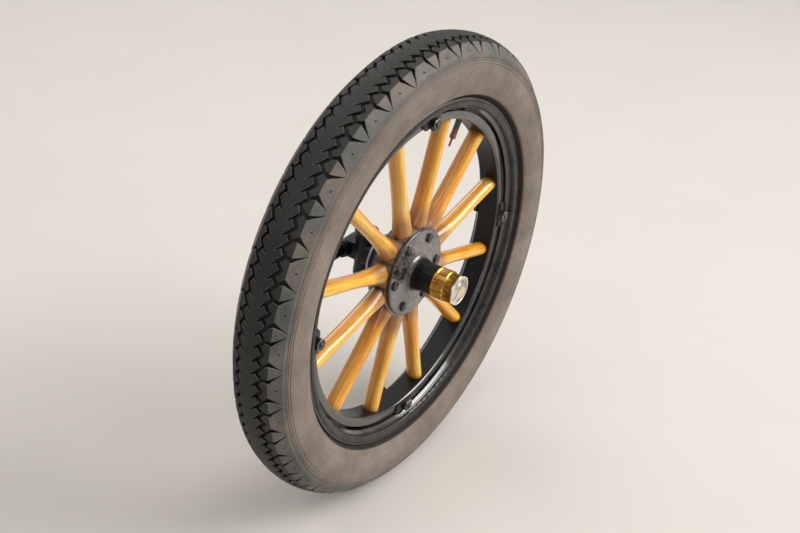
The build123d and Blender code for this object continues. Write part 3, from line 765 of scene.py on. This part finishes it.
def tread_pitch():
    """One pitch of the tread as a flat strip with its grooves sunk and their edges broken.

    Three pitches are cut and the outer two taken off, so that both ends of the one that stays match.
    """
    half_rows = [r * MM for r in CROWN_ROWS] + [
        TREAD_HALF, TREAD_HALF + SHOULDER_RUN / 3, TREAD_HALF + SHOULDER_RUN * 2 / 3,
        TREAD_HALF + SHOULDER_RUN, STRIP_HALF]
    rows = [-r for r in reversed(half_rows)] + [0.0] + half_rows
    columns = 3 * PITCH_COLUMNS
    bm = bmesh.new()
    bmesh.ops.create_grid(bm, x_segments=columns, y_segments=len(rows) - 1, size=1.0)
    for vert in bm.verts:
        column = round((vert.co.x + 1) / 2 * columns)
        row = round((vert.co.y + 1) / 2 * (len(rows) - 1))
        vert.co = (PITCH_LENGTH * (column / PITCH_COLUMNS - 1), rows[row], 0)
    stretches = []
    for number in range(-2, 3):  # one pitch more on either side, because grooves reach over their pitch
        offset = Vector((number * PITCH_LENGTH, 0))
        stretches += [[corner + offset for corner in corners] for corners in groove_stretches()]
    for corners in stretches:
        for start, end in ((corners[0], corners[1]), (corners[3], corners[2])):
            near = [face for face in bm.faces if crosses(face, start, end)]
            if near:
                edges = {edge for face in near for edge in face.edges}
                verts = {vert for face in near for vert in face.verts}
                run = end - start
                bmesh.ops.bisect_plane(bm, geom=near + list(edges) + list(verts), dist=0.01 * MM,
                                       plane_co=start.to_3d(), plane_no=(-run.y, run.x, 0))
    mark = bm.edges.layers.int.new("groove_edge")
    grooves = {face for face in bm.faces
               if any(inside(face.calc_center_median(), corners) for corners in stretches)}
    for edge in {edge for face in grooves for edge in face.edges}:
        edge[mark] = len(grooves.intersection(edge.link_faces)) == 1
    grooves = list(grooves)
    sunk = bmesh.ops.extrude_face_region(bm, geom=grooves)["geom"]
    bmesh.ops.delete(bm, geom=grooves, context="FACES_ONLY")
    for vert in (part for part in sunk if isinstance(part, bmesh.types.BMVert)):
        fade = min(1.0, max(0.0, (GROOVE_END - abs(vert.co.y)) / GROOVE_RISE))
        vert.co.z = -GROOVE_DEPTH * (GROOVE_LEFT + (1 - GROOVE_LEFT) * fade)
    top = [edge for edge in bm.edges if edge[mark] and all(v.co.z == 0 for v in edge.verts)]
    bmesh.ops.bevel(bm, geom=top, offset=GROOVE_BREAK, offset_type="OFFSET", affect="EDGES",
                    segments=1, profile=0.5, material=-1, clamp_overlap=True)
    outer = [face for face in bm.faces if not 0 < face.calc_center_median().x < PITCH_LENGTH]
    bmesh.ops.delete(bm, geom=outer, context="FACES")
    return bm


def tyre_walls():
    """Sidewalls with their moulded lines, beads and the inside, as an open bmesh round the tyre."""
    runs = {STRIP_END: 0.0}
    for line in SIDE_LINES:
        runs.update({line - SIDE_LINE_HALF: 0.0, line: -SIDE_LINE_DEPTH, line + SIDE_LINE_HALF: 0.0})
    plain = SIDE_LINES[-1] + 3 * MM
    rest = SIDEWALL.length - plain
    runs.update({plain + rest * k / SIDE_STEPS: 0.0 for k in range(SIDE_STEPS + 1)})
    side = [SIDEWALL.at(run, height) for run, height in sorted(runs.items())]
    bead = [(BEAD_NECK, BEAD_FACE), (BEAD_HEEL, BEAD_FACE), (BEAD_SEAT, BEAD_FACE - BEAD_CHAMFER),
            (BEAD_SEAT, BEAD_FACE - BEAD_WIDTH)]
    inner = Arc((SIDEWALL_LOW[0], BEAD_FACE - CASING_WALL), (SIDE_MIDDLE, TYRE_HALF - CASING_WALL),
                INNER_CROWN)
    half = side + bead + [inner.at(inner.length * k / INNER_STEPS) for k in range(INNER_STEPS + 1)]
    outline = half + [(TYRE_RADIUS - TREAD_WALL, 0)]
    outline += [(radius, -out) for radius, out in reversed(half)]
    walls = lathe(outline, PITCHES * PITCH_COLUMNS)
    bmesh.ops.transform(walls, matrix=seat(PITCH_START), verts=walls.verts)
    return walls


def treaded_tyre():
    """The tyre as one closed mesh: tread strip round the crown and the walls under it."""
    bm = tread_pitch()
    depth = bm.verts.layers.float.new("groove")
    for vert in bm.verts:
        along, across, height = vert.co
        vert[depth] = min(1.0, -height / GROOVE_DEPTH)
        radius, out = tread_section(across, height)
        vert.co = on_wheel(PITCH_START + 360 * along / (PITCH_LENGTH * PITCHES), radius, out)
    whole = bm.verts[:] + bm.edges[:] + bm.faces[:]
    step = 2 * math.pi / PITCHES
    bmesh.ops.spin(bm, geom=whole, cent=AXLE, axis=(0, 1, 0), dvec=(0, 0, 0), angle=step * (PITCHES - 1),
                   steps=PITCHES - 1, use_duplicate=True)
    walls = tyre_walls()
    mesh = bpy.data.meshes.new("walls")
    walls.to_mesh(mesh)
    walls.free()
    bm.from_mesh(mesh)
    bpy.data.meshes.remove(mesh)
    bmesh.ops.remove_doubles(bm, verts=bm.verts, dist=0.02 * MM)
    piece("treaded_tyre", bm, "tyre_rubber", sharp=15, replaces="tyre")


def quarter(radius, out, across, along):
    """A quarter round from (radius + across, out) to (radius, out + along), as (radius, out)."""
    turns = [math.pi / 2 * k / CAP_STEPS for k in range(CAP_STEPS + 1)]
    return [(radius + across * math.cos(turn), out + along * math.sin(turn)) for turn in turns]


def hub_cap():
    """The screwed cap: skirt with turned lines, and a hexagon whose bevelled face holds the disc."""
    end = CAP_DISC_SEAT - CAP_END
    outline = [(0, end), (CAP_INSIDE - 2 * MM, end), (CAP_INSIDE, end - 2 * MM),
               (CAP_INSIDE, CAP_BACK + CAP_SEAT), (CAP_THREAD, CAP_BACK + CAP_SEAT),
               (CAP_THREAD, CAP_BACK), (CAP_SKIRT - 0.8 * MM, CAP_BACK),
               (CAP_SKIRT, CAP_BACK + 0.8 * MM)]
    for line in CAP_LINES:
        outline += [(CAP_SKIRT, CAP_BACK + line - CAP_LINE_HALF),
                    (CAP_SKIRT - CAP_LINE_HALF, CAP_BACK + line),
                    (CAP_SKIRT, CAP_BACK + line + CAP_LINE_HALF)]
    outline += [(CAP_SKIRT, CAP_SHOULDER - 1.8 * MM), (CAP_SKIRT - CAP_NECK, CAP_SHOULDER - 0.2 * MM),
                (CAP_SKIRT - CAP_NECK, CAP_SHOULDER), (CAP_RADIUS, CAP_SHOULDER + 1.3 * MM)]
    outline += quarter(CAP_FACE_RADIUS, CAP_FRONT - CAP_BEVEL, CAP_RADIUS - CAP_FACE_RADIUS, CAP_BEVEL)
    outline += [(CAP_DISC_RADIUS + 0.3 * MM, CAP_FRONT), (CAP_DISC_RADIUS, CAP_FRONT - 0.3 * MM),
                (CAP_DISC_RADIUS, CAP_DISC_SEAT), (0, CAP_DISC_SEAT)]
    bm = lathe(outline, 72, across=CAP_ACROSS, zone=(CAP_SHOULDER, CAP_FRONT - 0.4 * MM))
    bmesh.ops.transform(bm, matrix=seat(WHEEL_ROLL), verts=bm.verts)
    piece("turned_hub_cap", bm, "cap_brass", sharp=28, replaces="hub_cap")


def cap_disc():
    """Plated disc set in the cap's face, with a low round boss and a rolled edge."""
    radius = CAP_DISC_RADIUS - 0.05 * MM
    step = CAP_DISC_SEAT + CAP_DISC_EDGE
    rise = CAP_FRONT - step
    outline = [(0, CAP_DISC_SEAT), (radius, CAP_DISC_SEAT), (radius, step - 0.3 * MM),
               (radius - 0.3 * MM, step)]
    outline += [(CAP_BOSS_RADIUS - CAP_BOSS_TAPER * share, step + rise * math.sin(math.pi / 2 * share))
                for share in [k / CAP_STEPS for k in range(CAP_STEPS + 1)]]
    outline += [(0, CAP_FRONT)]
    bm = lathe(outline, 64)
    bmesh.ops.transform(bm, matrix=seat(WHEEL_ROLL), verts=bm.verts)
    piece("bossed_cap_disc", bm, "nickel", sharp=35, replaces="hub_cap_disc")


def hub_bolts():
    """Low domed heads on the plate, shanks through the wood and nuts on the back flange."""
    across, shank = HUB_BOLT_ACROSS, HUB_BOLT_SHANK
    tail = HUB_BOLT_BACK + HUB_BOLT_TAIL
    flange = tail + HUB_BOLT_HEAD
    plate = HUB_BOLT_FRONT - HUB_BOLT_HEAD
    nut = nut_blank(across, flange, tail)[::-1]
    head = nut_blank(across, plate, HUB_BOLT_FRONT - HUB_BOLT_DOME)
    outline = [(0, HUB_BOLT_BACK), (shank - 0.6 * MM, HUB_BOLT_BACK),
               (shank, HUB_BOLT_BACK + 0.6 * MM), (shank, tail)]
    outline += nut + [(shank, flange), (shank, plate)] + head
    outline += [(across * 0.36, HUB_BOLT_FRONT - 0.3 * MM), (across * 0.2, HUB_BOLT_FRONT - 0.05 * MM),
                (0, HUB_BOLT_FRONT)]
    part = lathe(outline, 48, across=across)
    places = [seat(WHEEL_ROLL + 360 * k / HUB_BOLTS, HUB_BOLT_CIRCLE) for k in range(HUB_BOLTS)]
    piece("domed_hub_bolts", repeated(part, places), "dark_iron", sharp=28, replaces="hub_bolts")


def lug_bolts():
    """Heads behind the felloe, shanks and chamfered nuts on the lugs."""
    across, shank = LUG_NUT_ACROSS, LUG_BOLT_SHANK
    top = LUG_BOLT_FRONT - LUG_TAIL
    seat_face = top - LUG_NUT_HEIGHT
    felloe = LUG_BOLT_BACK + LUG_HEAD_HEIGHT
    head = nut_blank(across, felloe, LUG_BOLT_BACK)[::-1]
    nut = nut_blank(across, seat_face, top)
    outline = [(0, LUG_BOLT_BACK)] + head + [(shank, felloe), (shank, seat_face)] + nut + [
        (shank + 0.7 * MM, top), (shank, top + 0.1 * MM), (shank, LUG_BOLT_FRONT - 0.7 * MM),
        (shank - 0.7 * MM, LUG_BOLT_FRONT), (0, LUG_BOLT_FRONT)]
    part = lathe(outline, 48, across=across)
    places = [seat(WHEEL_ROLL + LUG_TURN + 360 * k / LUGS, LUG_CIRCLE) for k in range(LUGS)]
    piece("chamfered_lug_nuts", repeated(part, places), "dark_iron", sharp=28, replaces="lug_bolts")


def rim_lugs():
    """Clamps with sloping ends on the felloe's front, their noses under the rim."""
    half = LUG_WIDTH / 2 / LUG_CIRCLE
    nose = FELLOE_FRONT - LUG_NOSE
    section = [(LUG_FOOT, FELLOE_FRONT), (FELLOE_OUTER, FELLOE_FRONT), (FELLOE_OUTER, nose),
               (RIM_INSIDE, nose), (RIM_INSIDE, LUG_FRONT), (LUG_FOOT, LUG_FRONT)]
    bm = bmesh.new()
    end = [bm.verts.new((r * math.cos(half), r * math.sin(half), out)) for r, out in section]
    first = bm.faces.new(end)
    bmesh.ops.spin(bm, geom=[first] + first.edges[:] + first.verts[:], cent=(0, 0, 0), axis=(0, 0, 1),
                   dvec=(0, 0, 0), angle=-2 * half, steps=LUG_STEPS)
    for vert in bm.verts:
        at_end = abs(math.atan2(vert.co.y, vert.co.x)) > half * 0.99
        if at_end and vert.co.z > FELLOE_FRONT + 1 * MM:
            vert.co.z -= LUG_SLOPE
        if at_end and vert.co.xy.length < FELLOE_OUTER - 1 * MM:
            vert.co.xy *= 1 + LUG_TAPER / LUG_CIRCLE
    bmesh.ops.recalc_face_normals(bm, faces=bm.faces)
    corners = [edge for edge in bm.edges if edge.calc_face_angle(0) > math.radians(25)]
    bmesh.ops.bevel(bm, geom=corners, offset=LUG_CHAMFER, offset_type="OFFSET", affect="EDGES",
                    segments=2, profile=0.5, material=-1, clamp_overlap=True)
    places = [seat(WHEEL_ROLL + LUG_TURN + 360 * k / LUGS) for k in range(LUGS)]
    piece("sloped_rim_lugs", repeated(bm, places), "black_enamel", sharp=25, replaces="rim_lugs")


def thread(radii, start, turns):
    """The outline of a thread: the root and the crest of each turn, from a start height."""
    root, crest = radii
    return [(radius, start + THREAD_PITCH * k + rise) for k in range(turns)
            for radius, rise in ((root, 0.0), (crest, THREAD_PITCH / 2))]


def metres(outline):
    """An outline in mm as one in metres."""
    return [(radius * MM, height * MM) for radius, height in outline]


def tyre_valve():
    """Valve stem with its nut at the felloe, a threaded body and a slim tip."""
    foot = VALVE_SEAT - VALVE_FOOT
    body = VALVE_BODY[0]
    outline = [(0, foot - VALVE_FOOT_DEPTH), (VALVE_FOOT_RADIUS, foot - VALVE_FOOT_DEPTH),
               (VALVE_FOOT_RADIUS, foot), (VALVE_SHANK, foot), (VALVE_SHANK, 0)]
    outline += nut_blank(VALVE_NUT_ACROSS, 0, VALVE_NUT_HEIGHT)
    outline += [(body, VALVE_NUT_HEIGHT + 0.1 * MM), (body, VALVE_BODY_START - 0.2 * MM)]
    outline += thread(VALVE_BODY, VALVE_BODY_START, VALVE_BODY_TURNS) + metres(VALVE_COLLAR)
    outline += thread(VALVE_TIP, VALVE_TIP_START, VALVE_TIP_TURNS) + metres(VALVE_TIP_END)
    bm = lathe(outline, 24, across=VALVE_NUT_ACROSS, zone=(0.0, VALVE_NUT_HEIGHT))
    place = seat(VALVE_ANGLE, VALVE_SEAT, VALVE_SHIFT, inwards=True)
    bmesh.ops.transform(bm, matrix=place, verts=bm.verts)
    piece("threaded_valve", bm, "valve_metal", sharp=30, replaces="valve")


def oilers():
    """Two capped oilers in the front of the kingpin boss."""
    outline = metres(OILER_STEM) + nut_blank(OILER_ACROSS, 0, OILER_NUT_HEIGHT) + metres(OILER_CAP)
    part = lathe(outline, 24, across=OILER_ACROSS, zone=(0.0, OILER_NUT_HEIGHT))
    knuckle_low, knuckle_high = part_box("steering_knuckle")
    heights = (knuckle_low.z * OILER_PLACE, knuckle_high.z * OILER_PLACE)
    forward = Matrix.Rotation(math.pi / 2, 4, "Y")
    places = [Matrix.Translation((OILER_REACH, 0, height)) @ forward for height in heights]
    piece("oilers", repeated(part, places), "cap_brass", body="knuckle", sharp=30)


def pale_floor():
    """A wide pale floor that the tyre stands on."""
    mesh = bpy.data.meshes.new("floor")
    bm = bmesh.new()
    bmesh.ops.create_grid(bm, x_segments=1, y_segments=1, size=FLOOR_REACH)
    bmesh.ops.translate(bm, verts=bm.verts, vec=(0, 0, tyre_low.z))
    bm.to_mesh(mesh)
    bm.free()
    floor = bpy.data.objects.new("floor", mesh)
    bpy.context.scene.collection.objects.link(floor)
    paint = Paint("pale_floor")
    cloud = paint.noise(paint.place(), 2.5, 4)
    colour = paint.mix(cloud, srgb(218, 213, 206), srgb(226, 221, 215))
    mesh.materials.append(paint.finish(Base_Color=colour, Roughness=0.9, Specular_IOR_Level=0.1))


def surroundings():
    """Pale surroundings that look brighter than the light they give."""
    world = bpy.data.worlds.new("studio")
    world.use_nodes = True
    nodes, join = world.node_tree.nodes, world.node_tree.links.new
    sky = nodes["Background"]
    sky.inputs["Color"].default_value = SKY_COLOUR
    rays = nodes.new("ShaderNodeLightPath")
    seen = nodes.new("ShaderNodeMath")
    seen.operation = "MAXIMUM"
    through = nodes.new("ShaderNodeMath")
    through.operation = "MAXIMUM"
    strength = nodes.new("ShaderNodeMapRange")
    strength.inputs["To Min"].default_value = SKY_LIGHT
    strength.inputs["To Max"].default_value = SKY_SEEN
    join(rays.outputs["Is Camera Ray"], seen.inputs[0])
    join(rays.outputs["Is Glossy Ray"], seen.inputs[1])
    join(rays.outputs["Is Transmission Ray"], through.inputs[0])
    join(seen.outputs[0], through.inputs[1])
    join(through.outputs[0], strength.inputs["Value"])
    join(strength.outputs[0], sky.inputs["Strength"])
    bpy.context.scene.world = world


def lamp(name, place, size, power, spread):
    """A soft rectangular lamp that faces the wheel."""
    light = bpy.data.lights.new(name, "AREA")
    light.shape = "RECTANGLE"
    light.size, light.size_y = size
    light.energy = power
    light.spread = math.radians(spread)
    light.color = LAMP_COLOUR
    holder = bpy.data.objects.new(name, light)
    holder.location = place
    holder.rotation_euler = (-Vector(place)).to_track_quat("-Z", "Y").to_euler()
    bpy.context.scene.collection.objects.link(holder)


def camera():
    """The camera where the photograph was taken from."""
    view = bpy.data.cameras.new("camera")
    view.sensor_width = CAMERA_SENSOR
    view.sensor_fit = "HORIZONTAL"
    view.lens = CAMERA_LENS
    view.clip_start = 0.01
    holder = bpy.data.objects.new("camera", view)
    holder.location = CAMERA_PLACE
    holder.rotation_euler = Euler([math.radians(angle) for angle in CAMERA_TURN])
    bpy.context.scene.collection.objects.link(holder)
    bpy.context.scene.camera = holder
    bpy.context.scene.view_settings.view_transform = "Standard"


dress_frame()
treaded_tyre()
hub_cap()
cap_disc()
hub_bolts()
lug_bolts()
rim_lugs()
tyre_valve()
oilers()
pale_floor()
surroundings()
for settings in LAMPS:
    lamp(*settings)
camera()
